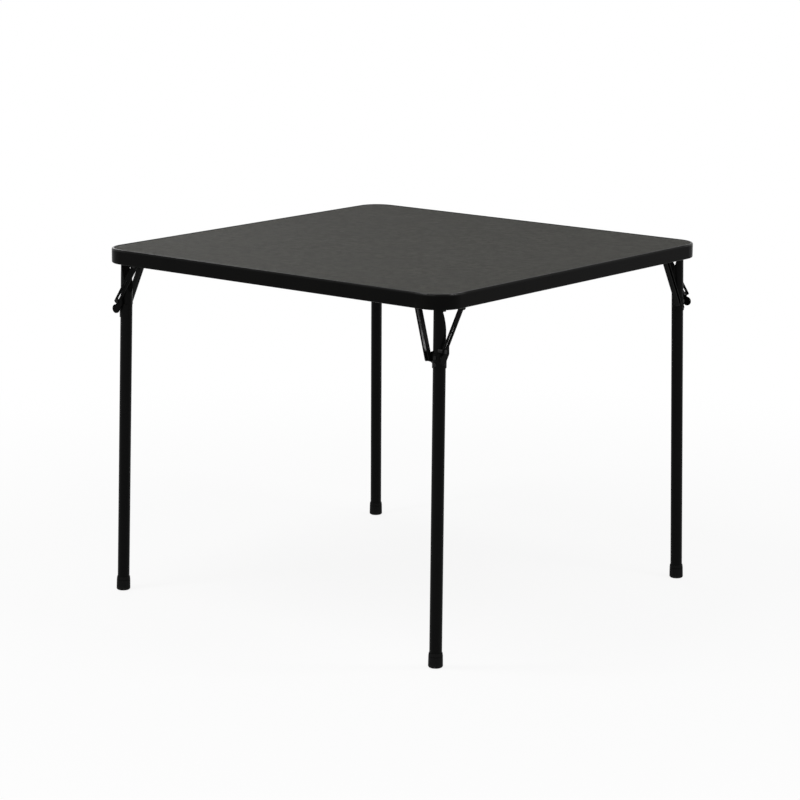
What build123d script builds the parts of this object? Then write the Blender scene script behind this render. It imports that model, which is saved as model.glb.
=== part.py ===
from build123d import *
import math
import os

# Folding card table: a padded square panel in a steel rim, on four tube legs that fold flat
# along the rim. Millimetres, +Z up, origin on the floor under the middle of the top.

# Overall sizes
table_side = 864.0
table_height = 709.0
rim_depth = 30.0
corner_radius = 50.0
leg_inset = 36.0

# Rim: one roll-formed strip with a top lip, a ledge for the panel and a bottom flange
rim_wall = 1.2
rim_lip_width = 5.0
rim_ledge_reach = 20.0
rim_flange_width = 8.0
rim_top_bend = 2.4
rim_bottom_bend = 2.0
rim_small_bend = 0.9

# Panel: board, foam and vinyl, let down into the rim
cover_thickness = 0.6
foam_thickness = 1.8
board_thickness = 3.0
cover_sink = 0.6
panel_edge_gap = 0.4
cover_edge_radius = 1.9
hem_width = 26.0
hem_corner_radius = 18.0

# Screws that hold the panel to the ledge
screw_radius = 1.75
screw_head_radius = 4.0
screw_head_height = 2.0
screw_head_edge = 0.8
screw_bite = 2.2
screw_recess_width = 1.0
screw_recess_length = 4.6
screw_recess_depth = 1.0
screw_clearance = 0.2
screws_per_side = 3
screw_spacing = 250.0

# Leg tube, with its top pressed in on the side that it folds towards
leg_radius = 12.0
leg_wall = 1.2
leg_above_pin = 7.0
leg_head_reach = 5.5
press_length = 54.0
press_depth = 16.7
press_below_rim = 6.0

# The open leg leans out past upright: in the plane in which it folds, and away from its stay
leg_lean = 1.15
leg_side_lean = 0.75

# Rubber foot cap
foot_radius = 14.2
foot_height = 28.0
foot_floor = 4.0
foot_collar_height = 6.0
foot_collar_wall = 1.0
foot_draft = 0.5
foot_edge_radius = 3.5

# Hinge line of the leg, along the rim that the leg's bracket faces
hinge_back = 2.0
fold_clearance = 1.2
pin_radius = 3.0
pin_head_radius = 4.6
pin_head_height = 2.0
running_clearance = 0.06
side_clearance = 0.3

# Bracket under the ledge: a plate with two cheeks bent down
bracket_wall = 2.0
bracket_rim_gap = 0.5
bracket_plate_reach = 16.0
bracket_strip_width = 12.0
cheek_half_width = 8.0
cheek_below_pin = 4.7
cheek_pivot_radius = 7.0

# Rigid stay: a U channel from the hinge pin down to the leg's saddle
stay_width = 9.4
stay_depth = 10.0
stay_wall = 1.4
stay_pin_from_web = 5.4
stay_top_offset = 52.0
stay_foot_offset = 16.4
stay_foot_back = 7.6
stay_foot_drop = 94.0
stay_end_overrun = 6.0
stay_end_radius = 4.2
stay_cheek_clearance = 3.4

# Saddle round the leg, with the tab that carries the stay
saddle_wall = 1.5
saddle_top_drop = 84.0
saddle_height = 27.0
saddle_start_angle = 116.0
saddle_end_angle = 328.0
tab_above_rivet = 11.0
tab_side_reach = 5.0
tab_below_rivet = 7.0
tab_leg_drop = 22.0
tab_leg_reach = 13.0
tab_corner_radius = 2.0
saddle_rivet_radius = 2.2
saddle_rivet_head_radius = 3.8
saddle_rivet_head_height = 1.6
saddle_rivet_edge = 7.0
stay_rivet_clearance = 0.3

# Slotted strap that locks the leg open, with a round finger tab set to one side
strap_width = 13.0
strap_thickness = 2.6
strap_leg_gap = 5.8
strap_edge_bevel = 0.4
strap_pivot_reach = 41.0
strap_shoulder_past_rivet = 5.0
strap_shoulder_radius = 2.0
strap_heel_before_rivet = 14.0
strap_neck_width = 11.0
tab_past_rivet = 15.3
tab_aside = 5.6
strap_tab_radius = 9.0
slot_width = 3.4
slot_seat_radius = 2.1
pivot_rivet_radius = 2.6
pivot_head_radius = 5.0
pivot_head_height = 1.3

# Rivet on the leg that runs in the slot
slot_rivet_drop = 84.0
slot_rivet_back = 8.4
slot_rivet_radius = 1.6
slot_rivet_head_radius = 4.2
slot_rivet_head_height = 1.8
slot_rivet_head_edge = 0.9
slot_collar_radius = 4.0
slot_rivet_inset = 5.6

# One overrun for every cut that has to pass through a face
overrun = 5.0

# Heights, all from the floor
rim_bottom = table_height - rim_depth
cover_top = table_height - cover_sink
foam_top = cover_top - cover_thickness
board_top = foam_top - foam_thickness
board_bottom = board_top - board_thickness
ledge_top = board_bottom - cover_thickness
ledge_bottom = ledge_top - rim_wall
hinge_height = ledge_top - fold_clearance - foot_radius - hinge_back
leg_top = hinge_height + leg_above_pin
slot_rivet_height = hinge_height - slot_rivet_drop
saddle_top = rim_bottom - saddle_top_drop
saddle_bottom = saddle_top - saddle_height
stay_foot_height = rim_bottom - stay_foot_drop
stay_rivet_head_radius = stay_width / 2 - stay_wall - stay_rivet_clearance

# The strap's pivot is level with the slot rivet when the leg is folded
strap_pivot_height = hinge_height + hinge_back - slot_rivet_back

# Places along the hinge line, from the leg's axis towards the stay
strap_inner = -leg_radius - strap_leg_gap
strap_outer = strap_inner - strap_thickness
strap_cheek_inner = strap_outer - side_clearance
strap_cheek_outer = strap_cheek_inner - bracket_wall
stay_cheek_inner = stay_top_offset + stay_width / 2 + stay_cheek_clearance
stay_cheek_outer = stay_cheek_inner + bracket_wall

half_side = table_side / 2
cover_half = half_side - rim_lip_width - panel_edge_gap
cover_corner = corner_radius - rim_lip_width - panel_edge_gap


def square_plate(half, radius, bottom, top):
    """A square plate with rounded corners between two heights."""
    outline = RectangleRounded(2 * half, 2 * half, radius)
    return Pos(0, 0, bottom) * extrude(outline, top - bottom)


def rod(start, direction, radius, length):
    """A round rod from a point, along a direction."""
    plane = Plane(origin=start, z_dir=direction)
    return plane * Cylinder(radius, length, align=(Align.CENTER, Align.CENTER, Align.MIN))


def offset_polyline(points, distance):
    """The points of an open polyline moved to its left, with mitred corners."""
    moved = []
    last = len(points) - 1
    for index, (x, y) in enumerate(points):
        sides = []
        for first in (index - 1, index):
            if 0 <= first < last:
                run_x = points[first + 1][0] - points[first][0]
                run_y = points[first + 1][1] - points[first][1]
                run = math.hypot(run_x, run_y)
                sides.append((-run_y / run, run_x / run))
        mean_x = sum(side[0] for side in sides) / len(sides)
        mean_y = sum(side[1] for side in sides) / len(sides)
        scale = distance / (mean_x ** 2 + mean_y ** 2)
        moved.append((x + mean_x * scale, y + mean_y * scale))
    return moved


def turns_left(points, index):
    """True where an open polyline turns to its left at a corner."""
    (ax, ay), (bx, by), (cx, cy) = points[index - 1:index + 2]
    return (bx - ax) * (cy - by) - (by - ay) * (cx - bx) > 0


def bent_sheet(points, bends, wall):
    """The section of a bent strip: its centre line, one bend radius a corner, and its wall."""
    edges = []
    ends = []
    for side in (1, -1):
        shifted = offset_polyline(points, side * wall / 2)
        radii = []
        for index, bend in enumerate(bends, start=1):
            inside = side if turns_left(points, index) else -side
            radii.append(bend - inside * wall / 2)
        line = FilletPolyline(*shifted, radius=radii)
        edges += line.edges()
        ends.append((line @ 0, line @ 1))
    edges.append(Line(ends[0][0], ends[1][0]).edge())
    edges.append(Line(ends[0][1], ends[1][1]).edge())
    return make_face(edges)


def rim_section():
    """The rim's bent section, with x inwards from the outer face and y up."""
    middle = rim_wall / 2
    inner = rim_lip_width - middle
    line = [
        (rim_flange_width, rim_bottom + middle),
        (middle, rim_bottom + middle),
        (middle, table_height - middle),
        (inner, table_height - middle),
        (inner, ledge_top - middle),
        (rim_ledge_reach, ledge_top - middle),
    ]
    bends = [rim_bottom_bend, rim_top_bend, rim_small_bend, rim_small_bend]
    return bent_sheet(line, bends, rim_wall)


def screw_places():
    """Where the panel screws stand, in the middle of the ledge's width."""
    across = half_side - (rim_lip_width + rim_ledge_reach) / 2
    places = []
    for side in range(4):
        for number in range(screws_per_side):
            along = (number - (screws_per_side - 1) / 2) * screw_spacing
            places.append(Vector(along, -across, 0).rotate(Axis.Z, 90 * side))
    return places


def holes_at(places, radius, bottom, top):
    """Upright round cutters at a list of places."""
    cutter = Cylinder(radius, top - bottom, align=(Align.CENTER, Align.CENTER, Align.MIN))
    return [Pos(place.X, place.Y, bottom) * cutter for place in places]


def make_rim():
    """The rim: four straight runs and four bent corners of one section."""
    straight = half_side - corner_radius
    section = rim_section()
    run_plane = Plane(origin=(-straight, -half_side, 0), x_dir=(0, 1, 0), z_dir=(1, 0, 0))
    bend_plane = Plane(origin=(straight, -half_side, 0), x_dir=(0, 1, 0), z_dir=(1, 0, 0))
    run = extrude(run_plane * section, 2 * straight)
    corner_axis = Axis((straight, -straight, 0), (0, 0, 1))
    corner = revolve(bend_plane * section, corner_axis, 90)
    rim = run + corner
    ring = Part()
    for side in range(4):
        ring += Rot(0, 0, 90 * side) * rim
    hole_radius = screw_radius + screw_clearance
    return ring - holes_at(screw_places(), hole_radius, ledge_bottom - overrun, board_bottom)


def make_board():
    """The fibreboard panel, with a pilot hole for each screw."""
    board = square_plate(cover_half - cover_thickness, cover_corner - cover_thickness,
                         board_bottom, board_top)
    bite_top = board_bottom + screw_bite
    return board - holes_at(screw_places(), screw_radius, board_bottom - overrun, bite_top)


def make_foam():
    """The foam sheet on the board, softened round its top edge."""
    foam = square_plate(cover_half - cover_thickness, cover_corner - cover_thickness,
                        board_top, foam_top)
    return fillet(foam.faces().sort_by(Axis.Z)[-1].edges(), cover_edge_radius - cover_thickness)


def make_cover():
    """The vinyl: over the foam, down the board's edge and turned under it as a hem."""
    outside = square_plate(cover_half, cover_corner, ledge_top, cover_top)
    outside = fillet(outside.faces().sort_by(Axis.Z)[-1].edges(), cover_edge_radius)
    inside = square_plate(cover_half - cover_thickness, cover_corner - cover_thickness,
                          board_bottom, foam_top)
    inside = fillet(inside.faces().sort_by(Axis.Z)[-1].edges(), cover_edge_radius - cover_thickness)
    window = square_plate(cover_half - hem_width, hem_corner_radius,
                          ledge_top - overrun, board_bottom)
    cover = outside - inside - window
    return cover - holes_at(screw_places(), screw_radius, ledge_top - overrun, board_bottom)


def make_screws():
    """All panel screws: pan heads under the ledge, shanks up into the board."""
    low = (Align.CENTER, Align.CENTER, Align.MIN)
    head_bottom = ledge_bottom - screw_head_height
    head = Pos(0, 0, head_bottom) * Cylinder(screw_head_radius, screw_head_height, align=low)
    head = fillet(head.edges().sort_by(Axis.Z)[0], screw_head_edge)
    shank_length = board_bottom + screw_bite - ledge_bottom
    shank = Pos(0, 0, ledge_bottom) * Cylinder(screw_radius, shank_length, align=low)
    screw = head + shank
    for turn in (0, 90):
        slot = Box(screw_recess_length, screw_recess_width, screw_recess_depth, align=low)
        screw -= Pos(0, 0, head_bottom) * Rot(0, 0, turn) * slot
    return Compound([Pos(place.X, place.Y, 0) * screw for place in screw_places()])


# Every corner piece is drawn at the front left corner, from the leg's axis: x is the way the
# foot swings when the leg folds, and y runs along the hinge pin towards the stay. The pieces
# of the leg are drawn upright. Their makers lean them away from the stay, and they lean out
# about the hinge pin when they are placed.

def turned(piece, about_x, about_y):
    """A piece turned about the point where the leg's plane meets the hinge pin."""
    there = Pos(-hinge_back, 0, hinge_height)
    back = Pos(hinge_back, 0, -hinge_height)
    return there * Rot(about_x, about_y, 0) * back * piece


def leaning_aside(piece):
    """A piece of the leg with its foot away from the stay."""
    return turned(piece, -leg_side_lean, 0)


def leaning_out(piece):
    """A piece of the leg with its foot away from the side that it folds towards."""
    return turned(piece, 0, leg_lean)


def swing_outline(points, half_width):
    """A solid from an outline in the plane in which the leg swings, through the leg."""
    plane = Plane(origin=(0, half_width, 0), x_dir=(1, 0, 0), z_dir=(0, -1, 0))
    return extrude(plane * make_face(Polyline(*points, close=True)), 2 * half_width)


def stay_frame():
    """The stay's frame: origin on its web at the foot rivet, x out of the web, z up the stay."""
    foot = Vector(-stay_foot_back, stay_foot_offset, stay_foot_height)
    top = Vector(-hinge_back + stay_pin_from_web, stay_top_offset, hinge_height)
    along = top - foot
    return Plane(origin=foot, x_dir=Vector(along.Z, 0, -along.X), z_dir=along), along.length


def make_leg():
    """The leg: a tube whose top is pressed in on the folding side, with a head for the pin."""
    tube_bottom = foot_floor
    past = leg_radius + overrun
    press_top = rim_bottom - press_below_rim
    press_start = press_top - press_length
    press_face = leg_radius - press_depth
    head_face = leg_head_reach - hinge_back
    outside = [
        (-past, tube_bottom), (past, tube_bottom), (past, press_start),
        (leg_radius, press_start), (press_face, press_top), (head_face, press_top),
        (head_face, leg_top), (-past, leg_top),
    ]
    slope = math.atan2(press_depth, press_length)
    wall_across = leg_wall / math.cos(slope)
    high = leg_top + overrun
    inside = [
        (-past, tube_bottom - overrun), (past, tube_bottom - overrun), (past, press_start),
        (leg_radius - wall_across, press_start), (press_face - wall_across, press_top),
        (press_face - wall_across, press_top + leg_wall), (past, press_top + leg_wall),
        (past, high), (-past, high),
    ]
    tall = Cylinder(leg_radius, high, align=(Align.CENTER, Align.CENTER, Align.MIN))
    bore = Cylinder(leg_radius - leg_wall, high, align=(Align.CENTER, Align.CENTER, Align.MIN))
    leg = (tall & swing_outline(outside, past)) - (bore & swing_outline(inside, past))
    for height in saddle_rivet_heights():
        leg -= rod((0, 0, height), (-1, 0, 0), saddle_rivet_radius, past)
    leg = leaning_aside(leg)
    pin_start = (-hinge_back, -past, hinge_height)
    leg -= rod(pin_start, (0, 1, 0), pin_radius + running_clearance, 2 * past)
    return leg - rod((-slot_rivet_back, 0, slot_rivet_height), (0, -1, 0), slot_rivet_radius, past)


def make_foot():
    """The rubber cap on the foot of the leg."""
    collar_radius = leg_radius + foot_collar_wall
    shoulder = foot_height - foot_collar_height
    profile = Polyline(
        (0, -foot_floor), (foot_radius, -foot_floor), (foot_radius - foot_draft, shoulder),
        (collar_radius, foot_height), (leg_radius, foot_height), (leg_radius, foot_floor),
        (0, foot_floor), close=True)
    face = Plane.XZ * make_face(profile)
    cap = revolve(face, Axis.Z, 360)
    width = 4 * foot_radius + 2 * hinge_height * math.sin(math.radians(leg_lean + leg_side_lean))
    ground = Box(width, width, foot_height, align=(Align.CENTER, Align.CENTER, Align.MAX))
    cap = leaning_aside(cap) - turned(ground, 0, -leg_lean)
    return fillet(cap.faces().sort_by(Axis.Z)[0].edges(), foot_edge_radius)


def make_stay():
    """The U channel of the stay, its open side away from the folding side."""
    frame, length = stay_frame()
    section = Rectangle(stay_depth, stay_width, align=(Align.MAX, Align.CENTER))
    hollow = Pos(-stay_wall, 0) * Rectangle(stay_depth, stay_width - 2 * stay_wall,
                                            align=(Align.MAX, Align.CENTER))
    low = -stay_end_overrun
    channel = Pos(0, 0, low) * extrude(section - hollow, length + 2 * stay_end_overrun)
    ends = Pos(-stay_depth / 2, 0, length / 2) * Box(
        stay_depth + overrun, stay_width, length + 2 * stay_end_overrun)
    ends = fillet(ends.edges().filter_by(Axis.X), stay_end_radius)
    channel = channel & ends
    channel -= Pos(-stay_depth, 0, 0) * Rot(0, 90, 0) * Cylinder(
        saddle_rivet_radius, 2 * stay_depth, align=(Align.CENTER, Align.CENTER, Align.MIN))
    stay = leaning_aside(frame * channel)
    pin_start = (-hinge_back, stay_top_offset - stay_width, hinge_height)
    return stay - rod(pin_start, (0, 1, 0), pin_radius + running_clearance, 2 * stay_width)


def saddle_rivet_heights():
    """The heights of the two rivets that hold the saddle to the leg."""
    return (saddle_top - saddle_rivet_edge, saddle_bottom + saddle_rivet_edge)


def make_saddle():
    """The saddle: a band most of the way round the leg, with a tab behind the stay's web."""
    past = 2 * (leg_radius + saddle_wall)
    band = Cylinder(leg_radius + saddle_wall, saddle_height,
                    align=(Align.CENTER, Align.CENTER, Align.MIN))
    opening = [(0, 0)]
    steps = 3
    open_sweep = saddle_start_angle - (saddle_end_angle - 360)
    for step in range(steps + 1):
        angle = math.radians(saddle_end_angle - 360 + open_sweep * step / steps)
        opening.append((past * math.cos(angle), past * math.sin(angle)))
    gap = extrude(make_face(Polyline(*opening, close=True)), saddle_height)
    band = Pos(0, 0, saddle_bottom) * (band - gap)
    frame, _ = stay_frame()
    outline = Polyline(
        (-tab_leg_reach, tab_above_rivet), (tab_side_reach, tab_above_rivet),
        (tab_side_reach, -tab_below_rivet + tab_side_reach / 2),
        (0, -tab_below_rivet), (-tab_leg_reach, -tab_leg_drop), close=True)
    plane = Plane(origin=(0, 0, 0), x_dir=(0, 1, 0), z_dir=(1, 0, 0))
    tab_face = make_face(outline)
    outer_corners = tab_face.vertices().sort_by(Axis.X)[-3:]
    tab = extrude(plane * fillet(outer_corners, tab_corner_radius), saddle_wall)
    saddle = band + frame * tab
    saddle -= Cylinder(leg_radius, table_height, align=(Align.CENTER, Align.CENTER, Align.MIN))
    saddle -= frame * (Rot(0, 90, 0) * Cylinder(saddle_rivet_radius, 2 * past))
    for height in saddle_rivet_heights():
        saddle -= rod((0, 0, height), (-1, 0, 0), saddle_rivet_radius, past)
    return leaning_aside(saddle)


def domed_head(radius, height, edge):
    """A rivet head standing on z = 0, rounded round its top."""
    head = Cylinder(radius, height, align=(Align.CENTER, Align.CENTER, Align.MIN))
    return fillet(head.edges().sort_by(Axis.Z)[-1], edge)


def make_saddle_rivets():
    """Two rivets through the saddle into the leg, and one through the stay's web and the tab."""
    edge = saddle_rivet_head_height / 2
    head = domed_head(saddle_rivet_head_radius, saddle_rivet_head_height, edge)
    rivets = []
    for height in saddle_rivet_heights():
        plane = Plane(origin=(-leg_radius - saddle_wall, 0, height), z_dir=(-1, 0, 0))
        shank_length = leg_wall + saddle_wall
        shank = Cylinder(saddle_rivet_radius, shank_length,
                         align=(Align.CENTER, Align.CENTER, Align.MAX))
        seat = Cylinder(leg_radius + saddle_wall, table_height,
                        align=(Align.CENTER, Align.CENTER, Align.MIN))
        deep_head = Cylinder(saddle_rivet_head_radius, saddle_wall,
                             align=(Align.CENTER, Align.CENTER, Align.MAX))
        skirt = plane * deep_head - seat
        rivets.append(plane * (head + shank) + skirt)
    frame, _ = stay_frame()
    small_head = domed_head(stay_rivet_head_radius, saddle_rivet_head_height, edge)
    stay_head = Pos(-stay_wall, 0, 0) * Rot(0, -90, 0) * small_head
    shank = Pos(-stay_wall, 0, 0) * Rot(0, 90, 0) * Cylinder(
        saddle_rivet_radius, stay_wall + saddle_wall,
        align=(Align.CENTER, Align.CENTER, Align.MIN))
    back_head = Pos(saddle_wall, 0, 0) * Rot(0, 90, 0) * head
    rivets.append(frame * (stay_head + shank + back_head))
    return leaning_aside(Compound(rivets))


def strap_frame():
    """The strap's frame at rest: origin at its pivot, x down the strap, z away from the leg."""
    pivot = Vector(strap_pivot_reach, strap_inner, strap_pivot_height)
    rivet = leaning_out(Vertex(-slot_rivet_back, strap_inner, slot_rivet_height)).center()
    return Plane(origin=pivot, x_dir=rivet - pivot, z_dir=(0, -1, 0)), (rivet - pivot).length


def folded_rivet_reach():
    """How far the slot rivet is from the strap's pivot when the leg is folded."""
    return slot_rivet_drop - hinge_back - strap_pivot_reach


def make_strap():
    """The slotted strap with its finger tab."""
    frame, rivet_reach = strap_frame()
    half = strap_width / 2
    shoulder = rivet_reach + strap_shoulder_past_rivet
    tab_place = (rivet_reach + tab_past_rivet, tab_aside)
    body = Rectangle(shoulder, strap_width, align=(Align.MIN, Align.CENTER))
    body = fillet(body.vertices().sort_by(Axis.X)[-2:], strap_shoulder_radius)
    neck = make_face(Polyline(
        (rivet_reach - strap_heel_before_rivet, half),
        (rivet_reach - strap_heel_before_rivet, 0),
        (shoulder, half - strap_neck_width / 2),
        (tab_place[0], tab_aside - strap_tab_radius / 2),
        (tab_place[0], tab_aside + strap_tab_radius),
        (shoulder - strap_heel_before_rivet / 2, tab_aside + strap_tab_radius), close=True))
    outline = body + neck + Circle(half) + Pos(*tab_place) * Circle(strap_tab_radius)
    strap = extrude(outline, strap_thickness)
    rims = strap.faces().filter_by(Plane.XY)
    strap = chamfer(rims.sort_by(Axis.Z)[-1].edges(), strap_edge_bevel)
    slot_start = folded_rivet_reach()
    slot_length = rivet_reach - slot_start
    slot = Pos(slot_start + slot_length / 2, 0) * SlotCenterToCenter(slot_length, slot_width)
    holes = slot + Pos(rivet_reach, 0) * Circle(slot_seat_radius)
    holes += Circle(pivot_rivet_radius + running_clearance)
    return frame * (strap - extrude(holes, strap_thickness))


def make_pivot_rivet():
    """The rivet of the strap, through the bracket's long cheek."""
    centre = (strap_pivot_reach, strap_inner + running_clearance, strap_pivot_height)
    edge = pivot_head_height / 2
    head = domed_head(pivot_head_radius, pivot_head_height, edge)
    inner = Plane(origin=centre, z_dir=(0, 1, 0)) * head
    length = centre[1] - strap_cheek_outer
    shank = rod(centre, (0, -1, 0), pivot_rivet_radius, length)
    outer_place = (strap_pivot_reach, strap_cheek_outer, strap_pivot_height)
    outer = Plane(origin=outer_place, z_dir=(0, -1, 0)) * head
    return inner + shank + outer


def make_slot_rivet():
    """The slot rivet: a stud in the leg's wall with a collar up to the strap, and its head."""
    inner_end = -leg_radius + slot_rivet_inset
    leg_room = leaning_aside(Cylinder(leg_radius, table_height,
                                      align=(Align.CENTER, Align.CENTER, Align.MIN)))
    start = (-slot_rivet_back, inner_end, slot_rivet_height)
    length = inner_end - strap_inner - side_clearance
    stud = rod(start, (0, -1, 0), slot_rivet_radius, length)
    collar = rod(start, (0, -1, 0), slot_collar_radius, length) - leg_room
    head_place = (-slot_rivet_back, strap_cheek_inner, slot_rivet_height)
    head = Plane(origin=head_place, z_dir=(0, -1, 0)) * domed_head(
        slot_rivet_head_radius, slot_rivet_head_height, slot_rivet_head_edge)
    return Compound([stud + collar, head])


def make_pin():
    """The long hinge pin, headed outside both cheeks."""
    start = (-hinge_back, strap_cheek_outer, hinge_height)
    end = (-hinge_back, stay_cheek_outer, hinge_height)
    edge = pin_head_height / 2
    head = domed_head(pin_head_radius, pin_head_height, edge)
    pin = rod(start, (0, 1, 0), pin_radius, stay_cheek_outer - strap_cheek_outer)
    return pin + Plane(origin=start, z_dir=(0, -1, 0)) * head + Plane(origin=end, z_dir=(0, 1, 0)) * head


def make_bracket():
    """The bracket: a plate under the ledge, with a long cheek for the strap and a short one."""
    plate_top = ledge_bottom
    plate_bottom = plate_top - bracket_wall
    inner_half = half_side - rim_wall - bracket_rim_gap
    inner_corner = corner_radius - rim_wall - bracket_rim_gap
    corner_place = -half_side + leg_inset
    room = Pos(-corner_place, -corner_place, 0) * square_plate(
        inner_half, inner_corner, plate_bottom, plate_top)
    strip_end = strap_pivot_reach + cheek_pivot_radius
    back = -leg_inset
    plate = Pos(back, strap_cheek_outer, plate_bottom) * Box(
        bracket_plate_reach - back, stay_cheek_outer - strap_cheek_outer, bracket_wall,
        align=(Align.MIN, Align.MIN, Align.MIN))
    strip = Pos(0, strap_cheek_outer, plate_bottom) * Box(
        strip_end, bracket_strip_width, bracket_wall, align=(Align.MIN, Align.MIN, Align.MIN))
    plate = (plate + strip) & room
    low = hinge_height - cheek_below_pin
    left = -hinge_back - cheek_half_width
    right = -hinge_back + cheek_half_width
    lobe_low = strap_pivot_height - cheek_pivot_radius
    long_cheek = [
        (left, plate_top), (left, low), (right, low), (strap_pivot_reach, lobe_low),
        (strip_end, lobe_low), (strip_end, plate_top),
    ]
    short_cheek = [(left, plate_top), (left, low), (right, low), (right, plate_top)]
    bracket = plate
    for points, start in ((long_cheek, strap_cheek_inner), (short_cheek, stay_cheek_outer)):
        plane = Plane(origin=(0, start, 0), x_dir=(1, 0, 0), z_dir=(0, -1, 0))
        face = make_face(Polyline(*points, close=True))
        corners = face.vertices().sort_by(Axis.Y)[:len(points) - 2]
        face = fillet(corners, cheek_half_width / 2)
        bracket += extrude(plane * face, bracket_wall)
    pin_start = (-hinge_back, strap_cheek_outer - overrun, hinge_height)
    long_way = stay_cheek_outer - strap_cheek_outer + 2 * overrun
    bracket -= rod(pin_start, (0, 1, 0), pin_radius, long_way)
    pivot_start = (strap_pivot_reach, strap_cheek_inner + overrun, strap_pivot_height)
    bracket -= rod(pivot_start, (0, -1, 0), pivot_rivet_radius, 3 * overrun)
    return bracket


top_makers = {
    "rim_frame": make_rim,
    "panel_board": make_board,
    "foam_pad": make_foam,
    "vinyl_cover": make_cover,
    "panel_screws": make_screws,
}
corner_makers = {
    "hinge_bracket": make_bracket,
    "hinge_pin": make_pin,
    "leg_tube": make_leg,
    "foot_cap": make_foot,
    "side_stay": make_stay,
    "leg_saddle": make_saddle,
    "saddle_rivets": make_saddle_rivets,
    "lock_strap": make_strap,
    "strap_pivot_rivet": make_pivot_rivet,
    "slot_rivet": make_slot_rivet,
}
leg_pieces = ("leg_tube", "foot_cap", "side_stay", "leg_saddle", "saddle_rivets", "slot_rivet")
corner_names = ("front_left", "front_right", "back_right", "back_left")

os.makedirs("parts", exist_ok=True)
for name, maker in top_makers.items():
    export_step(maker(), f"parts/{name}.step")
for name, maker in corner_makers.items():
    piece = leaning_out(maker()) if name in leg_pieces else maker()
    piece = Pos(-half_side + leg_inset, -half_side + leg_inset, 0) * piece
    for quarter, corner_name in enumerate(corner_names):
        export_step(Rot(0, 0, 90 * quarter) * piece, f"parts/{name}_{corner_name}.step")
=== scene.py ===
# %% [markdown]
# # A folding card table
# The table has a padded square top let into a black steel rim, and four thin tube legs that fold
# flat under it. Its measured construction is already there: every bracket, leg, stay and rivet
# comes in from the frame, at its real place. This lesson gives those pieces their finishes, and
# makes what a plain solid can't show: the soft vinyl top, its staples, and the welds.

# %% Load the frame
import math

import bpy
from mathutils import Matrix, Vector, noise


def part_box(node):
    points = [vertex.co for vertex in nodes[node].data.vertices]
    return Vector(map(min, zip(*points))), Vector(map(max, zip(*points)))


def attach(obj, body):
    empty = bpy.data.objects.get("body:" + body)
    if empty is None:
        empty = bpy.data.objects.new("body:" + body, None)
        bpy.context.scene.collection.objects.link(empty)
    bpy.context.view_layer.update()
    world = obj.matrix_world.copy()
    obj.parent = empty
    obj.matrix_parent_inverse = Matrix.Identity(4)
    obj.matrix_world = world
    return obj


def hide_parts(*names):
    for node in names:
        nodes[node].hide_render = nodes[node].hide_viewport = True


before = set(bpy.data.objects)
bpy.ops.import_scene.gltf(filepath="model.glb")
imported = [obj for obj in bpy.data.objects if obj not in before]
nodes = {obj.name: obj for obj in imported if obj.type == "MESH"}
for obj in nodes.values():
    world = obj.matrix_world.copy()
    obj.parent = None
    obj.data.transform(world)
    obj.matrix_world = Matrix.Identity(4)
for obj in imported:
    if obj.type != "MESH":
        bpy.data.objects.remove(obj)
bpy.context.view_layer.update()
scene = bpy.context.scene
scene.view_settings.view_transform = "Standard"
MM = 0.001

# %% [markdown]
# ## The camera
# The photograph was taken from a little above the table's top, over its near corner. The camera
# could be placed by eye, but the table's size is known, so its place, its three angles and its
# focal length were worked out from where the rim and the feet lie in the picture. The focal
# length is written in pixels of the picture, because that is how it was measured.

# %% Camera
PICTURE_PIXELS = 800
FOCAL_PIXELS = 2750.168
CAMERA_PLACE = Vector((3.4173, -4.3062, 1.5600))
CAMERA_AZIMUTH = math.radians(38.524)
CAMERA_ELEVATION = math.radians(12.038)
CAMERA_ROLL = math.radians(0.4444)
SENSOR_WIDTH = 36


def camera_axes(azimuth, elevation, roll):
    """The camera's right, up and backward directions."""
    backward = Vector((math.sin(azimuth) * math.cos(elevation),
                       -math.cos(azimuth) * math.cos(elevation), math.sin(elevation)))
    level = Vector((math.cos(azimuth), math.sin(azimuth), 0))
    upright = backward.cross(level)
    right = math.cos(roll) * level + math.sin(roll) * upright
    return right, backward.cross(right), backward


lens = bpy.data.cameras.new("camera")
lens.sensor_width = SENSOR_WIDTH
lens.lens = SENSOR_WIDTH * FOCAL_PIXELS / PICTURE_PIXELS
camera = bpy.data.objects.new("camera", lens)
scene.collection.objects.link(camera)
turn = Matrix(camera_axes(CAMERA_AZIMUTH, CAMERA_ELEVATION, CAMERA_ROLL)).transposed()
camera.matrix_world = Matrix.Translation(CAMERA_PLACE) @ turn.to_4x4()
scene.camera = camera
print("focal length in mm:", round(lens.lens, 1))

# %% [markdown]
# ## Writing nodes as sums
# A finish is a small formula: so much grain, plus so much dust, times a mask. Drawn as nodes it
# is hard to read, so a socket is wrapped in a class that knows plus, minus and times, and each
# sum adds its own Math node. Every other node comes from one method, which takes the node's
# type, its settings and the values or links of its sockets. The same two classes serve the
# materials, the world and the Geometry Nodes trees.

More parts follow.
